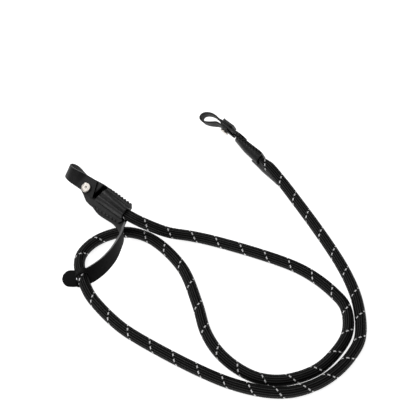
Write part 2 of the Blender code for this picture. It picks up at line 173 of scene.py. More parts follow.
LEFT = {
    "stud": (-0.0790, -0.0610, 0.0200),
    "yaw": 3.4,
    "slope": 2.0,
    "roll": 24.5,
    "bend": {"yaw": -12.0, "pitch": -18.0, "roll": 29.0},
    "loop_gap": 0.0068,
}
RIGHT = {
    "stud": (-0.0366, 0.0681, 0.0142),
    "yaw": -2.8,
    "slope": 2.2,
    "roll": 115.0,
    "bend": {"yaw": -3.0, "pitch": 28.0, "roll": 6.0},
    "loop_gap": 0.0067,
}

BEND_STEPS = 24

# Loop's profile: share of the loop's length, share of its half height
LOOP_PROFILE = ((0.22, 0.76), (0.48, 1.00), (0.74, 0.96), (0.91, 0.66), (1.00, 0.00))

# Straps behind the base: the centre's x, y, z in the end piece's frame, and the twist in degrees
LEFT_FLAP = (
    (0.0140, -0.0042, -0.0021, 1),
    (0.0210, -0.0061, -0.0023, 2),
    (0.0290, -0.0061, -0.0024, 2),
    (0.0360, -0.0060, -0.0024, 2),
    (0.0430, -0.0078, -0.0027, 3),
    (0.0467, -0.0106, 0.0012, 36),
)
RIGHT_FLAP = (
    (0.0140, 0.0, -0.0019, 0),
    (0.0210, 0.0, -0.0020, 0),
)

# The left tail past its sleeve and the right tongue: the centre's x, y, z, and the lean in degrees from
# flat, over the left side of the way along
LEFT_TAIL = (
    (-0.0308, -0.0700, 0.0163, 78),
    (-0.0288, -0.0720, 0.0166, 85),
    (-0.0267, -0.0743, 0.0164, 90),
    (-0.0241, -0.0819, 0.0140, 99),
    (-0.0224, -0.0901, 0.0113, 108),
    (-0.0222, -0.1003, 0.0089, 116),
    (-0.0234, -0.1087, 0.0076, 124),
    (-0.0258, -0.1164, 0.0066, 130),
    (-0.0308, -0.1234, 0.0062, 135),
    (-0.0365, -0.1275, 0.0054, 142),
    (-0.0410, -0.1293, 0.0047, 148),
)
RIGHT_TONGUE = (
    (-0.0030, 0.0674, 0.0008, 180),
    (0.0040, 0.0660, 0.0008, 180),
    (0.0110, 0.0644, 0.0008, 180),
    (0.0190, 0.0632, 0.0008, 180),
    (0.0270, 0.0620, 0.0008, 180),
    (0.0335, 0.0606, 0.0008, 180),
)

# Rope's route between the sleeves: centre points x, y, z
ROPE_ROUTE = (
    (-0.0292, -0.0584, 0.0205),
    (-0.0211, -0.0550, 0.0173),
    (-0.0047, -0.0451, 0.0093),
    (0.0110, -0.0334, 0.0056),
    (0.0300, -0.0235, 0.0045),
    (0.0890, -0.0020, 0.0045),
    (0.1100, 0.0010, 0.0045),
    (0.1310, -0.0005, 0.0045),
    (0.1455, -0.0050, 0.0045),
    (0.1605, -0.0235, 0.0045),
    (0.1630, -0.0540, 0.0045),
    (0.1580, -0.0705, 0.0045),
    (0.1460, -0.0875, 0.0045),
    (0.1315, -0.0970, 0.0045),
    (0.1150, -0.1005, 0.0045),
    (0.0965, -0.0995, 0.0045),
    (0.0780, -0.0930, 0.0045),
    (0.0560, -0.0780, 0.0045),
    (0.0240, -0.0605, 0.0045),
    (-0.0135, -0.0565, 0.0045),
    (-0.0330, -0.0650, 0.0045),
    (-0.0415, -0.0765, 0.0045),
    (-0.0460, -0.0905, 0.0045),
    (-0.0445, -0.1045, 0.0052),
    (-0.0375, -0.1140, 0.0066),
    (-0.0280, -0.1200, 0.0070),
    (-0.0185, -0.1250, 0.0056),
    (-0.0095, -0.1280, 0.0046),
    (0.0155, -0.1315, 0.0045),
    (0.0370, -0.1310, 0.0045),
    (0.1190, -0.1135, 0.0045),
    (0.1530, -0.0944, 0.0045),
    (0.1671, -0.0748, 0.0045),
    (0.1731, -0.0551, 0.0045),
    (0.1736, -0.0349, 0.0045),
    (0.1700, -0.0197, 0.0045),
    (0.1525, 0.0025, 0.0045),
    (0.1245, 0.0220, 0.0045),
    (0.0470, 0.0540, 0.0048),
    (0.0270, 0.0597, 0.0072),
    (0.0175, 0.0615, 0.0094),
)

# Leathers: name, darkest and lightest grey, roughness, depth of the grain, gloss
LEATHERS = {
    "grain": ("leather_grain", (0.006, 0.006, 0.0063), (0.014, 0.014, 0.0145), 0.46, 0.00008, 0.30),
    "plate": ("leather_plate", (0.008, 0.008, 0.0083), (0.018, 0.018, 0.0185), 0.44, 0.00010, 0.38),
    "base": ("leather_base", (0.008, 0.008, 0.0083), (0.018, 0.018, 0.0185), 0.44, 0.00010, 0.38),
    "edge": ("leather_edge", (0.006, 0.006, 0.006), (0.012, 0.012, 0.012), 0.40, 0.00003, 0.30),
    "dull": ("leather_dull", (0.006, 0.006, 0.006), (0.011, 0.011, 0.0112), 0.56, 0.00006, 0.10),
}

# Inner sides and cut edges of the leather, lightened as painted light: name, darkest and lightest grey
FLESHES = {
    # The inner side's own grey, raised further as a painted reflection of the white table
    "flesh_and_painted_reflection": ("leather_flesh_and_painted_reflection", (0.055, 0.055, 0.055), (0.085, 0.085, 0.084)),
    # Pale grey: painted light, a highlight on the tail's rims and a lit grey over the whole tongue
    "painted_light_grey": ("leather_painted_light_grey", (0.20, 0.20, 0.203), (0.29, 0.29, 0.294)),
}

# Material indices past the start of a strip's tail, and beside its slit
TAIL_FINISH = 3
SLIT_FINISH = 6

# Lights: place, target, side length, power
LIGHTS = {
    "top": ((-0.40, -0.46, 1.20), (0.0, 0, 0), 1.2, 5.5),
    "key": ((-1.2, 0.25, 1.1), (0.05, 0, 0), 0.5, 5.5),
}
WORLD_STRENGTH = 0.18
FLOOR_HALF_SIDE = 6.0
FLOOR_GLOW = 0.85


# Materials


class Nodes:
    """A material's node tree, built one node at a time."""

    def __init__(self, name):
        self.material = bpy.data.materials.new(name)
        self.material.use_nodes = True
        self.tree = self.material.node_tree
        self.shader = self.tree.nodes["Principled BSDF"]

    def put(self, socket, value):
        if isinstance(value, bpy.types.NodeSocket):
            self.tree.links.new(value, socket)
        else:
            socket.default_value = value

    def math(self, operation, *values):
        node = self.tree.nodes.new("ShaderNodeMath")
        node.operation = operation
        for socket, value in zip(node.inputs, values):
            self.put(socket, value)
        return node.outputs[0]

    def noise(self, vector, scale, detail=3.0, roughness=0.5):
        node = self.tree.nodes.new("ShaderNodeTexNoise")
        self.put(node.inputs["Vector"], vector)
        node.inputs["Scale"].default_value = scale
        node.inputs["Detail"].default_value = detail
        node.inputs["Roughness"].default_value = roughness
        return node.outputs["Fac"]

    def cells(self, vector, scale):
        node = self.tree.nodes.new("ShaderNodeTexVoronoi")
        node.feature = "SMOOTH_F1"
        self.put(node.inputs["Vector"], vector)
        node.inputs["Scale"].default_value = scale
        return node.outputs["Distance"]

    def ramp(self, value, *stops):
        node = self.tree.nodes.new("ShaderNodeValToRGB")
        elements = node.color_ramp.elements
        while len(elements) < len(stops):
            elements.new(0.5)
        for element, (at, colour) in zip(elements, stops):
            element.position = at
            element.color = (*colour, 1.0) if isinstance(colour, tuple) else (colour, colour, colour, 1.0)
        self.put(node.inputs["Fac"], value)
        return node.outputs["Color"]

    def mix(self, share, first, second):
        node = self.tree.nodes.new("ShaderNodeMix")
        node.data_type = "RGBA"
        self.put(node.inputs["Factor"], share)
        for socket, value in ((node.inputs["A"], first), (node.inputs["B"], second)):
            if not isinstance(value, bpy.types.NodeSocket):
                value = (*value, 1.0)
            self.put(socket, value)
        return node.outputs["Result"]

    def bump(self, height, distance):
        node = self.tree.nodes.new("ShaderNodeBump")
        node.inputs["Strength"].default_value = 1.0
        node.inputs["Distance"].default_value = distance
        self.put(node.inputs["Height"], height)
        return node.outputs["Normal"]

    def place(self):
        return self.tree.nodes.new("ShaderNodeTexCoord").outputs["Object"]


def leather_material(name, dark, light, roughness, grain, gloss, painted_shadow=False):
    """Pebbled leather. On a base, it takes a painted shadow, black and without gloss, where the mesh marks
    the shade in front of the patch's open edge.
    """
    n = Nodes(name)
    where = n.place()
    broad = n.noise(where, 120.0, detail=4.0)
    fine = n.noise(where, 900.0, detail=2.0)
    pebbles = n.cells(where, 1500.0)
    colour = n.ramp(broad, (0.3, dark), (0.75, light))
    # Painted shadow: black and without gloss where the base lies in the shade of the patch's open edge
    if painted_shadow:
        painted_shade = n.tree.nodes.new("ShaderNodeAttribute")
        painted_shade.attribute_name = "painted_shadow"
        colour = n.mix(painted_shade.outputs["Fac"], colour, (0.0, 0.0, 0.0))
        level = n.math("MULTIPLY_ADD", painted_shade.outputs["Fac"], -gloss, gloss)
        n.put(n.shader.inputs["Specular IOR Level"], level)
    n.put(n.shader.inputs["Base Color"], colour)
    rough = n.math("MULTIPLY_ADD", fine, 0.22, roughness - 0.11)
    n.put(n.shader.inputs["Roughness"], rough)
    height = n.math("MULTIPLY_ADD", pebbles, 0.6, n.math("MULTIPLY", fine, 0.5))
    n.put(n.shader.inputs["Normal"], n.bump(height, grain))
    if not painted_shadow:
        n.shader.inputs["Specular IOR Level"].default_value = gloss
    return n.material


def flesh_material(name, dark, light):
    """The leather's inner side, lightened by a painted reflection of the white table, and its cut edges'
    painted highlight: brushed and matt.
    """
    n = Nodes(name)
    where = n.place()
    broad = n.noise(where, 180.0, detail=5.0, roughness=0.6)
    fibres = n.noise(where, 1800.0, detail=3.0, roughness=0.7)
    n.put(n.shader.inputs["Base Color"], n.ramp(broad, (0.25, dark), (0.8, light)))
    n.shader.inputs["Roughness"].default_value = 0.82
    n.put(n.shader.inputs["Normal"], n.bump(fibres, 0.00012))
    n.shader.inputs["Sheen Weight"].default_value = 0.2
    return n.material


def braid_material(name):
    """Yarns over and under each other, drawn from the rope's own turn and length, with painted light and
    shade on them.
    """
    n = Nodes(name)
    uv = n.tree.nodes.new("ShaderNodeUVMap")
    uv.uv_map = "braid"
    split = n.tree.nodes.new("ShaderNodeSeparateXYZ")
    n.put(split.inputs[0], uv.outputs[0])
    turn = n.math("MULTIPLY", split.outputs[0], BRAID_YARNS)
    along = n.math("MULTIPLY", split.outputs[1], BRAID_YARNS)
    a, b = n.math("SUBTRACT", turn, along), n.math("ADD", turn, along)
    row_a, row_b = n.math("FLOOR", a), n.math("FLOOR", b)
    across_a, across_b = n.math("FRACT", a), n.math("FRACT", b)
    over = n.math("LESS_THAN", n.math("FLOORED_MODULO", n.math("ADD", row_a, row_b), 4.0), 2.0)
    float_a = n.math("FLOORED_MODULO", n.math("ADD", b, row_a), 4.0)
    float_b = n.math("FLOORED_MODULO", n.math("ADD", a, row_b), 4.0)

    def mound(across, length):
        side = n.math("SINE", n.math("MULTIPLY", across, math.pi))
        rise = n.math("SINE", n.math("MULTIPLY", length, math.pi / 2))
        return n.math("POWER", n.math("ABSOLUTE", n.math("MULTIPLY", side, rise)), 0.5)

    mound_a = mound(across_a, float_a)
    mound_b = mound(across_b, n.math("SUBTRACT", float_b, 2.0))
    under = n.math("SUBTRACT", 1.0, over)
    height = n.math("ADD", n.math("MULTIPLY", mound_a, over), n.math("MULTIPLY", mound_b, under))

    def strands(across, length, seed):
        spot = n.tree.nodes.new("ShaderNodeCombineXYZ")
        n.put(spot.inputs[0], n.math("MULTIPLY", across, 5.0))
        n.put(spot.inputs[1], n.math("MULTIPLY", length, 0.35))
        spot.inputs[2].default_value = seed
        return n.noise(spot.outputs[0], 1.0, detail=2.0)

    fibre = n.tree.nodes.new("ShaderNodeMix")
    n.put(fibre.inputs["Factor"], over)
    n.put(fibre.inputs["A"], strands(b, a, 3.0))
    n.put(fibre.inputs["B"], strands(a, b, 7.0))
    fibre = fibre.outputs["Result"]
    tracer = n.math("LESS_THAN", n.math("FLOORED_MODULO", row_a, float(BRAID_YARNS)), 0.5)
    crown = n.math("LESS_THAN", n.math("ABSOLUTE", n.math("SUBTRACT", float_a, 1.0)), FLECK_SHARE)
    white = n.math("MULTIPLY", n.math("MULTIPLY", tracer, over), crown)
    column = n.math("MULTIPLY", n.math("SUBTRACT", n.math("MULTIPLY", turn, 2.0), 1.5), math.pi / 2)
    ridge = n.math("POWER", n.math("ABSOLUTE", n.math("COSINE", column)), 1.5)
    # Painted light and shade: each yarn's crown lighter and the grooves between yarns darker, and a yarn of
    # one direction painted lighter than one of the other where it lies on top; the ridge adds fine dark
    # streaks along the rope
    painted_shade = n.math("MULTIPLY", n.math("MULTIPLY", height, ridge), n.math("MULTIPLY_ADD", fibre, 0.7, 0.5))
    painted_yarn_light = n.math("MULTIPLY", painted_shade, n.math("MULTIPLY_ADD", over, 0.5, 0.6))
    black = n.ramp(painted_yarn_light, (0.08, 0.001), (0.45, 0.011), (0.95, 0.045))
    n.put(n.shader.inputs["Base Color"], n.mix(white, black, (0.95, 0.95, 0.95)))
    n.put(n.shader.inputs["Roughness"], n.math("MULTIPLY_ADD", fibre, 0.3, 0.36))
    n.put(n.shader.inputs["Specular IOR Level"], n.math("MULTIPLY_ADD", ridge, 0.32, 0.01))
    relief = n.math("MULTIPLY_ADD", fibre, 0.35, height)
    n.put(n.shader.inputs["Normal"], n.bump(relief, 0.00018))
    return n.material


def metal_material(name):
    n = Nodes(name)
    where = n.place()
    haze = n.noise(where, 2500.0, detail=2.0)
    tint = n.ramp(haze, (0.2, (0.64, 0.60, 0.55)), (0.8, (0.75, 0.71, 0.66)))
    n.put(n.shader.inputs["Base Color"], tint)
    n.put(n.shader.inputs["Roughness"], n.math("MULTIPLY_ADD", haze, 0.12, 0.12))
    n.shader.inputs["Metallic"].default_value = 1.0
    return n.material


def plastic_material(name):
    n = Nodes(name)
    where = n.place()
    fine = n.noise(where, 3000.0, detail=2.0)
    n.put(n.shader.inputs["Base Color"], n.ramp(fine, (0.3, 0.010), (0.8, 0.020)))
    n.put(n.shader.inputs["Roughness"], n.math("MULTIPLY_ADD", fine, 0.15, 0.42))
    n.put(n.shader.inputs["Normal"], n.bump(fine, 0.00002))
    return n.material


def thread_material(name):
    n = Nodes(name)
    where = n.place()
    twist = n.noise(where, 4000.0, detail=1.0)
    n.put(n.shader.inputs["Base Color"], n.ramp(twist, (0.3, 0.012), (0.8, 0.035)))
    n.shader.inputs["Roughness"].default_value = 0.38
    n.put(n.shader.inputs["Normal"], n.bump(twist, 0.00005))
    return n.material


# Shapes


def smooth_rows(rows, step):
    """Rows of numbers a step apart on a centripetal Catmull-Rom curve through the given rows."""
    given = [np.array(row, float) for row in rows]
    ends = [2 * given[0] - given[1]] + given + [2 * given[-1] - given[-2]]
    fine = []
    for a, b, c, d in zip(ends, ends[1:], ends[2:], ends[3:]):
        t1 = np.linalg.norm(b - a) ** 0.5
        t2 = t1 + np.linalg.norm(c - b) ** 0.5
        t3 = t2 + np.linalg.norm(d - c) ** 0.5
        for t in np.linspace(t1, t2, CURVE_STEPS, endpoint=False):
            ab = a + (b - a) * t / t1
            bc = b + (c - b) * (t - t1) / (t2 - t1)
            cd = c + (d - c) * (t - t2) / (t3 - t2)
            abc = ab + (bc - ab) * t / t2
            bcd = bc + (cd - bc) * (t - t1) / (t3 - t1)
            fine.append(abc + (bcd - abc) * (t - t1) / (t2 - t1))
    line = np.array(fine + [given[-1]])
    along = np.concatenate([[0], np.cumsum(np.linalg.norm(np.diff(line[:, :3], axis=0), axis=1))])
    at = np.linspace(0, along[-1], max(2, round(along[-1] / step)) + 1)
    return np.stack([np.interp(at, along, column) for column in line.T], axis=1)


def end_frame(end):
    return (
        Matrix.Translation(Vector(end["stud"]) - ORIGIN)
        @ Matrix.Rotation(math.radians(end["yaw"]), 4, "Z")
        @ Matrix.Rotation(math.radians(end["slope"]), 4, "Y")
        @ Matrix.Rotation(math.radians(end["roll"]), 4, "X")
    )


def bent(point, bend):
    """A point in an end piece's frame, moved with the loop as it bends away from the stud."""
    x, y, z = point
    start = -LOOP_START / 2
    if x >= start:
        return Vector(point)
    step = (start - x) / BEND_STEPS
    place, turn = Vector((start, 0, 0)), Matrix.Identity(3)
    for _ in range(BEND_STEPS):
        share = step / LOOP_LENGTH
        for name, axis in (("yaw", "Z"), ("pitch", "Y"), ("roll", "X")):
            turn = turn @ Matrix.Rotation(math.radians(bend[name] * share), 3, axis)
        place = place + turn @ Vector((-step, 0, 0))
    return place + turn @ Vector((0, y, z))


def rope_share(x):
    """The rope's height at x from the stud, as a share of its free height."""
    if x > SLEEVE_END:
        return MOUTH_PINCH + (1 - MOUTH_PINCH) * min(1.0, (x - SLEEVE_END) / PINCH_LENGTH)
    return MOUTH_PINCH + (END_PINCH - MOUTH_PINCH) * min(1.0, (SLEEVE_END - x) / ROPE_INSIDE)


def rope_height(x):
    """Height of the rope's centre over the base's middle plane."""
    return BASE_THICKNESS / 2 + GAP + rope_share(x) * ROPE_DIAMETER / 2


def add_mesh(name, points, faces, *finishes):
    data = bpy.data.meshes.new(name)
    data.from_pydata([tuple(p) for p in points], [], faces)
    data.shade_smooth()
    made = bpy.data.objects.new(name, data)
    bpy.context.scene.collection.objects.link(made)
    for finish in finishes:
        data.materials.append(finish)
    return made


def thicken(made, thickness, bevel, offsets=(0, 0)):
    """Gives a sheet its thickness and rounded edges. The offsets pick the back's and the rim's material."""
    solid = made.modifiers.new("thickness", "SOLIDIFY")
    solid.thickness = thickness
    solid.offset = 0
    solid.use_even_offset = True
    solid.material_offset, solid.material_offset_rim = offsets
    edge = made.modifiers.new("edges", "BEVEL")
    edge.width = bevel
    edge.segments = 3
    edge.limit_method = "ANGLE"
    edge.angle_limit = math.radians(55)
    edge.harden_normals = True
    return made


def belongs(made, node):
    """Parents a piece to the root body, and hides the solid that it replaces, if there is one."""
    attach(made, "root")
    if node:
        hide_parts(node)
    return made


def make_rope(left, right, finish):
    """The whole rope as one swept tube, with its yarns raised in the surface."""
    inside = [SLEEVE_END - ROPE_INSIDE, SLEEVE_END - ROPE_INSIDE / 2]
    mouth = Vector((SLEEVE_END, 0, rope_height(SLEEVE_END)))
    route = [left @ mouth] + [Vector(p) - ORIGIN for p in ROPE_ROUTE] + [right @ mouth]
    middle = smooth_rows(route, ROPE_STEP)
    lead = [left @ Vector((x, 0, rope_height(x))) for x in inside]
    trail = [right @ Vector((x, 0, rope_height(x))) for x in reversed(inside)]
    rough = np.array([tuple(p) for p in lead] + middle.tolist() + [tuple(p) for p in trail])
    along = np.concatenate([[0], np.cumsum(np.linalg.norm(np.diff(rough, axis=0), axis=1))])
    length = along[-1]
    at = np.linspace(0, length, ROPE_RINGS)
    line = np.stack([np.interp(at, along, column) for column in rough.T], axis=1)
    line[:, 2] = np.maximum(line[:, 2], ROPE_DIAMETER / 2)
    for _ in range(ROPE_SMOOTHINGS):
        line[1:-1] = line[1:-1] * 0.5 + (line[2:] + line[:-2]) * 0.25
    ahead = np.gradient(line, axis=0)
    ahead /= np.linalg.norm(ahead, axis=1)[:, None]
    up = np.zeros_like(line)
    up[0] = np.array((left.to_3x3() @ Vector((0, 0, 1)))[:])
    for k in range(len(line)):
        if k:
            up[k] = up[k - 1]
        up[k] -= ahead[k] * (up[k] @ ahead[k])
        up[k] /= np.linalg.norm(up[k])
    side = np.cross(ahead, up)
    far_up = np.array((right.to_3x3() @ Vector((0, 0, 1)))[:])
    far_turn = math.atan2(far_up @ side[-1], far_up @ up[-1])
    share = np.empty(len(line))
    for k, s in enumerate(at):
        x = SLEEVE_END - ROPE_INSIDE + min(s, length - s)
        share[k] = rope_share(x)
    turn = np.arange(ROPE_SIDES) / ROPE_SIDES
    theta = 2 * math.pi * turn
    pitch_along = (at + BRAID_START) / BRAID_PITCH
    a = (turn[None, :] - pitch_along[:, None]) * BRAID_YARNS
    b = (turn[None, :] + pitch_along[:, None]) * BRAID_YARNS
    over = np.mod(np.floor(a) + np.floor(b), 4) < 2
    float_a = np.mod(b + np.floor(a), 4)
    float_b = np.mod(a + np.floor(b), 4) - 2
    mound_a = np.sqrt(np.abs(np.sin(math.pi * np.mod(a, 1)) * np.sin(math.pi / 2 * float_a)))
    mound_b = np.sqrt(np.abs(np.sin(math.pi * np.mod(b, 1)) * np.sin(math.pi / 2 * float_b)))
    relief = YARN_RELIEF * (np.where(over, mound_a, mound_b) - RELIEF_LEVEL)
    points = np.empty((len(line), ROPE_SIDES, 3))
    for k in range(len(line)):
        flat = far_turn if k > len(line) / 2 else 0.0
        radius = ROPE_DIAMETER / 2
        squash = share[k]
        local = theta - flat
        high = np.cos(local) * (radius * squash + relief[k])
        wide = np.sin(local) * (radius * min(1.0, squash * ROPE_FLATTENING) + relief[k])
        axis_up = up[k] * math.cos(flat) + side[k] * math.sin(flat)
        axis_side = side[k] * math.cos(flat) - up[k] * math.sin(flat)
        points[k] = line[k] + high[:, None] * axis_up + wide[:, None] * axis_side
    vertices = points.reshape(-1, 3)
    rings, sides = len(line), ROPE_SIDES
    i = np.arange(rings - 1)[:, None] * sides
    j = np.arange(sides)[None, :]
    j2 = (j + 1) % sides
    quads = np.stack([i + j, i + j2, i + sides + j2, i + sides + j], axis=-1).reshape(-1, 4)
    faces = quads.tolist()
    faces += [tuple(range(sides))[::-1], tuple(range((rings - 1) * sides, rings * sides))]
    made = add_mesh("rope_braid", vertices.tolist(), faces, finish)
    layer = made.data.uv_layers.new(name="braid")
    uv = np.zeros((len(made.data.loops), 2))
    u0 = np.broadcast_to(turn, (rings - 1, sides))
    u1 = u0 + 1 / sides
    v0 = np.broadcast_to(pitch_along[:-1, None], (rings - 1, sides))
    v1 = np.broadcast_to(pitch_along[1:, None], (rings - 1, sides))
    corners = [np.stack(pair, -1) for pair in ((u0, v0), (u1, v0), (u1, v1), (u0, v1))]
    flat_uv = np.stack(corners, 2).reshape(-1, 2)
    uv[: len(flat_uv)] = flat_uv
    layer.data.foreach_set("uv", uv.ravel())
    belongs(made, "rope")
    return made


def strap_profile(gap):
    """Middle line of the strap, from its short end round the loop to the tail, in the end's frame."""
    layer = BASE_THICKNESS / 2 + GAP + STRAP_THICKNESS / 2
    half = (gap + STRAP_THICKNESS) / 2
    branch = [(x, layer) for x in (SHORT_END, SHORT_END / 2, -LOOP_START / 2, -LOOP_START)]
    branch += [(-LOOP_START - LOOP_LENGTH * along, half * high) for along, high in LOOP_PROFILE]
    other = [(x, -z) for x, z in branch[-2:1:-1]]
    line = [(x, STRAP_SHIFT, z) for x, z in branch + other]
    return line + [(TAIL_START / 2, STRAP_SHIFT * 0.4, -layer), (TAIL_START, -STRAP_SHIFT * 0.3, -layer)]


def tail_sections(table, width):
    """Lower and upper edge point of each of a strip's sections."""
    centres = [Vector(row[:3]) - ORIGIN for row in table]
    sections = []
    for k, row in enumerate(table):
        ahead = centres[min(k + 1, len(centres) - 1)] - centres[max(k - 1, 0)]
        left = Vector((-ahead.y, ahead.x, 0)).normalized()
        lean = math.radians(row[3])
        across = (left * math.cos(lean) + Vector((0, 0, math.sin(lean)))) * width / 2
        sections.append((*(centres[k] - across), *(centres[k] + across)))
    return sections


def round_end(rows):
    """Draws the strip's edges together over the last half width, as a rounded tip."""
    order = rows[::-1]
    middle = (order[:, :3] + order[:, 3:]) / 2
    along = np.concatenate([[0], np.cumsum(np.linalg.norm(np.diff(middle, axis=0), axis=1))])
    radius = np.linalg.norm(order[0, 3:] - order[0, :3]) / 2
    for k, far in enumerate(along):
        if far < radius:
            share = math.sqrt(max(TIP_SHARE, 1 - (1 - far / radius) ** 2))
            order[k, :3] = middle[k] + (order[k, :3] - middle[k]) * share
            order[k, 3:] = middle[k] + (order[k, 3:] - middle[k]) * share


def make_strip(name, node, sections, finishes, tail_index, slit_from_tip=None):
    """A leather strip from its sections' edge points, with a rounded tip and maybe a slit."""
    rows = smooth_rows(sections, STRAP_STEP)
    round_end(rows)
    count = len(rows)
    half_slit = SLIT_LENGTH / STRAP_STEP / 2
    centre = count - 1 - slit_from_tip / STRAP_STEP if slit_from_tip else -count
    half, inmost = len(STRIP_SHARES), STRIP_SHARES[-1]
    columns = 2 * half
    points, faces = [], []
    for k, row in enumerate(rows):
        low, high = Vector(row[:3]), Vector(row[3:])
        middle, across = (low + high) / 2, (high - low).normalized()
        inner_low, inner_high = middle - across * SLIT_GAP / 2, middle + across * SLIT_GAP / 2
        swell = (1 - min(1.0, abs(k - centre) / half_slit) ** 2) ** SLIT_FULLNESS
        inner_low = inner_low + Vector((0, 0, -SLIT_DROP * swell))
        inner_high = inner_high + Vector((0, 0, SLIT_RISE * swell))
        spread = across * SLIT_SPREAD * swell
        low, high = low - spread, high + spread
        points += [low.lerp(inner_low, t / inmost) for t in STRIP_SHARES]
        points += [high.lerp(inner_high, t / inmost) for t in reversed(STRIP_SHARES)]
    for k in range(count - 1):
        for c in range(columns - 1):
            if c == half - 1 and abs(k + 0.5 - centre) < half_slit:
                continue
            i = columns * k + c
            faces.append((i, i + columns, i + columns + 1, i + 1))
    made = add_mesh(name, points, faces, *finishes)
    tail_start = np.linalg.norm(rows[:, :3] - np.array(sections[tail_index][:3]), axis=1).argmin()
    for face in made.data.polygons:
        row = face.vertices[0] // columns
        if row >= tail_start:
            by_slit = abs(row + 0.5 - centre) < half_slit + 1
            face.material_index = SLIT_FINISH if by_slit else TAIL_FINISH
    thicken(made, STRAP_THICKNESS, STRIP_BEVEL, offsets=(1, 2))
    return belongs(made, node)


def make_strap(side, end, flap, tail, finishes, slit_from_tip=None):
    place = end_frame(end)
    sections = []
    for k, (x, y, z) in enumerate(strap_profile(end["loop_gap"])):
        half = STRAP_WIDTH / 2 * (1 + STRAP_TAPER * x / LOOP_LENGTH)
        slant = END_SLANT * half if k == 0 else 0
        low = place @ bent((x + slant, y - half, z), end["bend"])
        high = place @ bent((x - slant, y + half, z), end["bend"])
        sections.append((*low, *high))
    for x, y, z, twist in flap:
        turn = math.radians(twist)
        across = Vector((0, math.cos(turn), math.sin(turn))) * TAIL_WIDTH / 2
        centre = Vector((x, y, z))
        sections.append((*(place @ (centre - across)), *(place @ (centre + across))))
    tail_index = len(sections) - 1
    sections += tail_sections(tail, TAIL_WIDTH)
    name = f"{side}_strap_leather"
    return make_strip(name, f"{side}_strap", sections, finishes, tail_index, slit_from_tip)


def half_width(x, side):
    """Half width of the base and of the patch's border at x from the stud, towards -y or +y."""
    at = [SLEEVE_END * row[0] for row in BASE_OUTLINE]
    widths = [BASE_HALF_WIDTH * row[1 if side < 0 else 2] for row in BASE_OUTLINE]
    width = float(np.interp(x, at, widths))
    past = (x - SLEEVE_END) / SLEEVE_CORNER + 1
    if past > 0:
        width -= (width - MOUTH_HALF_WIDTH - SLEEVE_BORDER) * (1 - math.sqrt(max(0.0, 1 - past**2)))
    return width


def tunnel_half_width(x):
    """Half width of the rope's tunnel under the patch at x from the stud."""
    share = (x - SLEEVE_START) / (SLEEVE_END - SLEEVE_START)
    return TUNNEL_HALF_WIDTH + (MOUTH_HALF_WIDTH - TUNNEL_HALF_WIDTH) * share


def scalloped(x, side):
    """The border's half width with the slight waves that the stitches pull into it."""
    sewn = min(1.0, max(0.0, (x - SLEEVE_START + SCALLOP_START) / (2 * SCALLOP_START)))
    wave = math.cos(2 * math.pi * (x - SLEEVE_START) / STITCH_PITCH) - 1
    return half_width(x, side) + SCALLOP * sewn * wave


def stations(start, count):
    """x of the sections from the start to the mouth, closer together round the mouth's corners."""
    straight = list(np.linspace(start, SLEEVE_END - SLEEVE_CORNER, count))[:-1]
    angles = [math.radians(90 * k / CORNER_STEPS) for k in range(CORNER_STEPS + 1)]
    return straight + [SLEEVE_END - SLEEVE_CORNER * (1 - math.sin(angle)) for angle in angles]


def painted_shadow_at(x, y):
    """Strength of the painted shadow on the base where it runs under the patch's open edge, from 0 to 1."""
    before = (slanted(SLEEVE_START, y) - x) / PAINTED_SHADOW_LENGTH
    across = (y - PAINTED_SHADOW_SHIFT) / PAINTED_SHADOW_HALF_WIDTH
    inside = min(1.0, max(0.0, (1 - abs(across)) / PAINTED_SHADOW_FADE))
    return inside * min(1.0, max(0.0, (1 - before) / PAINTED_SHADOW_FADE))


def make_base(side, place, finishes):
    xs = stations(-BASE_NECK_END, BASE_SECTIONS)
    columns = BASE_COLUMNS + 1
    points, faces, painted_shadow = [], [], []
    for x in xs:
        low, high = -scalloped(x, -1), scalloped(x, 1)
        for c in range(columns):
            y = low + (high - low) * c / (columns - 1)
            points.append(place @ Vector((x, y, 0)))
            # Strength of the painted shadow in front of the patch's open edge, kept on the mesh for the
            # base's material
            painted_shadow.append(painted_shadow_at(x, y))
    for k in range(len(xs) - 1):
        for c in range(columns - 1):
            i = columns * k + c
            faces.append((i, i + columns, i + columns + 1, i + 1))
    made = add_mesh(f"{side}_base_leather", points, faces, *finishes)
    made.data.attributes.new("painted_shadow", "FLOAT", "POINT").data.foreach_set("value", painted_shadow)
    thicken(made, BASE_THICKNESS, PLATE_BEVEL, offsets=(0, 1))
    return belongs(made, f"{side}_base")


def tunnel_rise(x):
    """Height that the patch rises over its own border at x from the stud, before the valley."""
    clear = 2 * GAP + rope_share(max(x, SLEEVE_END - ROPE_INSIDE)) * ROPE_DIAMETER + PATCH_VALLEY
    rope_end = SLEEVE_END - ROPE_INSIDE
    if x >= rope_end:
        return clear
    share = (x - SLEEVE_START) / (rope_end - SLEEVE_START)
    return PATCH_OPEN_RISE + (clear - PATCH_OPEN_RISE) * share


def slanted(x, y):
    """x of a patch point, moved with the slant of the patch's open edge."""
    left = (SLEEVE_END - x) / (SLEEVE_END - SLEEVE_START)
    return x + SLEEVE_SLANT * left * y


def stitch_places():
    """x of the middle of each stitch along a border."""
    sewn = SLEEVE_END - SLEEVE_START - STITCH_MARGIN - STITCH_END_MARGIN
    first = SLEEVE_START + STITCH_MARGIN
    return [first + STITCH_PITCH * (k + 0.5) for k in range(int(sewn / STITCH_PITCH))]


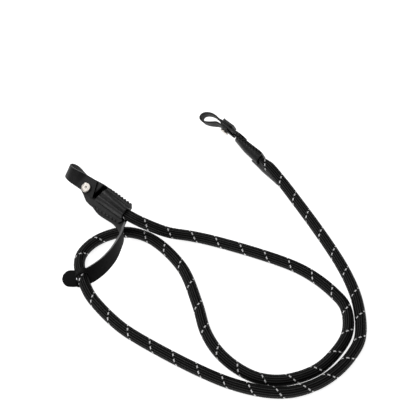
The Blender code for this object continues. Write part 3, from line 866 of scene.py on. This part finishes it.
def make_patch(side, place, finishes):
    xs = stations(SLEEVE_START, PATCH_SECTIONS)
    inner = [k / TUNNEL_COLUMNS for k in range(TUNNEL_COLUMNS + 1)]
    floor = BASE_THICKNESS / 2 + GAP + PATCH_THICKNESS / 2
    holes = [s - STITCH_PITCH / 2 for s in stitch_places()]
    holes.append(holes[-1] + STITCH_PITCH)
    points, faces = [], []
    for x in xs:
        tunnel = tunnel_half_width(x)
        shift = TUNNEL_SHIFT * (SLEEVE_END - x) / (SLEEVE_END - SLEEVE_START)
        row = []
        for sign in (-1, 1):
            width, seam = scalloped(x, sign), half_width(x, sign) - STITCH_INSET
            half = []
            for share in inner:
                dome = (1 - share**DOME_POWER) ** DOME_FULLNESS
                valley = math.exp(-((share / VALLEY_WIDTH) ** 2))
                rise = tunnel_rise(x) * dome - PATCH_VALLEY * valley
                half.append((sign * tunnel * share + shift, floor + max(0.0, rise)))
            foot = sign * tunnel + shift
            for share in BORDER_SHARES:
                y = foot + (sign * width - foot) * share
                off = (sign * y - seam) / HOLE_WIDTH
                dip = sum(math.exp(-(((x - hole) / HOLE_LENGTH) ** 2) - off**2) for hole in holes)
                half.append((y, floor - SEAM_DIP * dip))
            row = half[:0:-1] if sign < 0 else row + half
        points += [place @ Vector((slanted(x, y), y, z)) for y, z in row]
    across = len(points) // len(xs)
    for k in range(len(xs) - 1):
        for c in range(across - 1):
            i = across * k + c
            faces.append((i, i + across, i + across + 1, i + 1))
    made = add_mesh(f"{side}_patch_leather", points, faces, *finishes)
    thicken(made, PATCH_THICKNESS, PLATE_BEVEL, offsets=(0, 1))
    return belongs(made, f"{side}_sleeve_patch")


def make_stitches(side, place, finish):
    """Thread that lies on the patch's border, one short arched run for each stitch."""
    floor = BASE_THICKNESS / 2 + GAP + PATCH_THICKNESS
    points, faces = [], []
    rings, sides = STITCH_RINGS, STITCH_SIDES
    for sign in (-1, 1):
        for middle in stitch_places():
            start = len(points)
            for r in range(rings):
                t = r / (rings - 1) * 2 - 1
                x = middle + STITCH_LENGTH / 2 * t
                y = sign * (half_width(x, sign) - STITCH_INSET)
                lift = STITCH_RADIUS * (1.05 - 2.0 * t**4)
                radius = STITCH_RADIUS * math.sqrt(max(0.04, 1 - t**8))
                height = floor + lift - STITCH_RADIUS * 0.6
                for s in range(sides):
                    turn = 2 * math.pi * s / sides
                    out, up = radius * math.cos(turn), radius * math.sin(turn)
                    points.append(place @ Vector((slanted(x, y), y + out, height + up)))
            for r in range(rings - 1):
                for s in range(sides):
                    i, j = start + r * sides + s, start + r * sides + (s + 1) % sides
                    faces.append((i, i + sides, j + sides, j))
            faces.append(tuple(range(start, start + sides)))
            last = start + (rings - 1) * sides
            faces.append(tuple(reversed(range(last, last + sides))))
    made = add_mesh(f"{side}_stitches", points, faces, finish)
    return belongs(made, None)


def front_face():
    """Height of the front layer's outer face in the end piece's frame."""
    return BASE_THICKNESS / 2 + GAP + STRAP_THICKNESS


def make_stud(side, place, finish):
    sides = STUD_SIDES
    neck, head = NECK_DIAMETER / 2, HEAD_DIAMETER / 2
    under = front_face() + GAP + NECK_LENGTH
    top = under + HEAD_THICKNESS
    edge = HEAD_THICKNESS * 0.25
    groove, dimple = head * GROOVE_SHARE, head * DIMPLE_SHARE
    # Radius and height of the turned outline, from the neck to the dimple's floor
    profile = (
        (neck, front_face() + GAP),
        (neck, under),
        (head - edge, under),
        (head - edge * 0.3, under + edge * 0.3),
        (head, under + edge),
        (head, top - edge * 1.8),
        (head - edge * 0.25, top - edge * 1.1),
        (head - edge * 0.8, top - edge * 0.55),
        (head - edge * 1.6, top - edge * 0.2),
        (groove + edge * 0.6, top),
        (groove + edge * 0.25, top - edge * 0.4),
        (groove - edge * 0.25, top - edge * 0.4),
        (groove - edge * 0.6, top),
        (dimple + edge * 0.6, top + edge * 0.1),
        (dimple + edge * 0.2, top - edge * 0.2),
        (dimple, top - edge * 1.4),
        (dimple * 0.5, top - edge * 2.0),
    )
    points = [place @ Vector((0, 0, profile[0][1]))]
    for radius, height in profile:
        for k in range(sides):
            turn = 2 * math.pi * k / sides
            points.append(place @ Vector((radius * math.cos(turn), radius * math.sin(turn), height)))
    points.append(place @ Vector((0, 0, profile[-1][1])))
    faces = [(0, 1 + (k + 1) % sides, 1 + k) for k in range(sides)]
    for ring in range(len(profile) - 1):
        a, b = 1 + ring * sides, 1 + (ring + 1) * sides
        faces += [(a + k, a + (k + 1) % sides, b + (k + 1) % sides, b + k) for k in range(sides)]
    last, tip = 1 + (len(profile) - 1) * sides, len(points) - 1
    faces += [(last + k, last + (k + 1) % sides, tip) for k in range(sides)]
    made = add_mesh(f"{side}_stud_metal", points, faces, finish)
    made.data.set_sharp_from_angle(angle=math.radians(40))
    return belongs(made, f"{side}_stud")


def dress_block(side, finish):
    """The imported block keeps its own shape, with its edges softened."""
    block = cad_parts[f"{side}_clamp_block"]
    block.data.materials.clear()
    block.data.materials.append(finish)
    edge = block.modifiers.new("edges", "BEVEL")
    edge.width = BLOCK_BEVEL
    edge.segments = 2
    edge.limit_method = "ANGLE"
    edge.angle_limit = math.radians(40)


def make_end(side, end, flap, tail, finishes, slit_from_tip=None):
    place = end_frame(end)
    make_strap(side, end, flap, tail, finishes["strap"], slit_from_tip)
    make_base(side, place, finishes["base"])
    make_patch(side, place, finishes["plate"])
    make_stitches(side, place, finishes["thread"])
    make_stud(side, place, finishes["metal"])
    dress_block(side, finishes["block"])
    return place


# Scene


def make_floor():
    size = FLOOR_HALF_SIDE
    data = bpy.data.meshes.new("floor")
    corners = [(-size, -size, 0), (size, -size, 0), (size, size, 0), (-size, size, 0)]
    data.from_pydata(corners, [], [(0, 1, 2, 3)])
    floor = bpy.data.objects.new("floor", data)
    bpy.context.scene.collection.objects.link(floor)
    n = Nodes("floor_white")
    n.shader.inputs["Base Color"].default_value = (0.92, 0.92, 0.92, 1.0)
    n.shader.inputs["Roughness"].default_value = 0.9
    n.shader.inputs["Specular IOR Level"].default_value = 0.0
    n.shader.inputs["Emission Color"].default_value = (1.0, 1.0, 1.0, 1.0)
    n.shader.inputs["Emission Strength"].default_value = FLOOR_GLOW
    data.materials.append(n.material)


def area_light(name, place, target, size, power):
    data = bpy.data.lights.new(name, "AREA")
    data.shape = "SQUARE"
    data.size = size
    data.energy = power
    light = bpy.data.objects.new(name, data)
    bpy.context.scene.collection.objects.link(light)
    light.location = place
    light.rotation_mode = "QUATERNION"
    light.rotation_quaternion = (Vector(target) - Vector(place)).to_track_quat("-Z", "Y")


def make_camera():
    azimuth, elevation = math.radians(CAMERA_AZIMUTH), math.radians(CAMERA_ELEVATION)
    flat = math.cos(elevation)
    back = Vector((math.sin(azimuth) * flat, -math.cos(azimuth) * flat, math.sin(elevation)))
    data = bpy.data.cameras.new("camera")
    data.sensor_width = SENSOR
    data.lens = FOCAL_PIXELS / IMAGE_SIDE * SENSOR
    data.clip_start, data.clip_end = 0.01, 20.0
    camera = bpy.data.objects.new("camera", data)
    bpy.context.scene.collection.objects.link(camera)
    camera.location = LOOK_AT + back * CAMERA_DISTANCE
    camera.rotation_mode = "QUATERNION"
    camera.rotation_quaternion = (-back).to_track_quat("-Z", "Y")
    bpy.context.scene.camera = camera


def make_light():
    world = bpy.data.worlds.new("studio")
    world.use_nodes = True
    background = world.node_tree.nodes["Background"]
    background.inputs["Color"].default_value = (1.0, 1.0, 1.0, 1.0)
    background.inputs["Strength"].default_value = WORLD_STRENGTH
    bpy.context.scene.world = world
    bpy.context.scene.view_settings.view_transform = "Standard"
    for name, (place, target, size, power) in LIGHTS.items():
        area_light(name, place, target, size, power)


def main():
    make_camera()
    make_floor()
    make_light()
    grain = leather_material(*LEATHERS["grain"])
    plate = leather_material(*LEATHERS["plate"])
    # The base's leather carries the painted shadow in front of the patch's open edge
    base = leather_material(*LEATHERS["base"], painted_shadow=True)
    edge = leather_material(*LEATHERS["edge"])
    # The inner side's grey carries a painted reflection of the white table
    flesh_and_painted_reflection = flesh_material(*FLESHES["flesh_and_painted_reflection"])
    # Painted light: the pale grey of the tail's rims and of the whole tongue
    painted_light_grey = flesh_material(*FLESHES["painted_light_grey"])
    dull = leather_material(*LEATHERS["dull"])
    # A strip's face, back and rim: first on the loop, then on the tail, then beside the slit
    finishes = {
        "strap": (flesh_and_painted_reflection, grain, edge, flesh_and_painted_reflection, dull, painted_light_grey, flesh_and_painted_reflection, dull, dull),
        "tongue": (painted_light_grey, painted_light_grey, painted_light_grey, painted_light_grey, painted_light_grey, painted_light_grey),
        "plate": (plate, edge),
        "base": (base, edge),
        "thread": thread_material("thread_black"),
        "metal": metal_material("nickel_polished"),
        "block": plastic_material("block_black"),
    }
    left = make_end("left", LEFT, LEFT_FLAP, LEFT_TAIL, finishes, SLIT_FROM_TIP)
    right_finishes = dict(finishes, strap=(dull, dull, edge, dull, dull, edge, dull, dull, dull))
    right = make_end("right", RIGHT, RIGHT_FLAP, (), right_finishes)
    tongue = tail_sections(RIGHT_TONGUE, TONGUE_WIDTH)
    make_strip("right_tongue_leather", "right_tongue", tongue, finishes["tongue"], 0)
    make_rope(left, right, braid_material("rope_black"))


main()
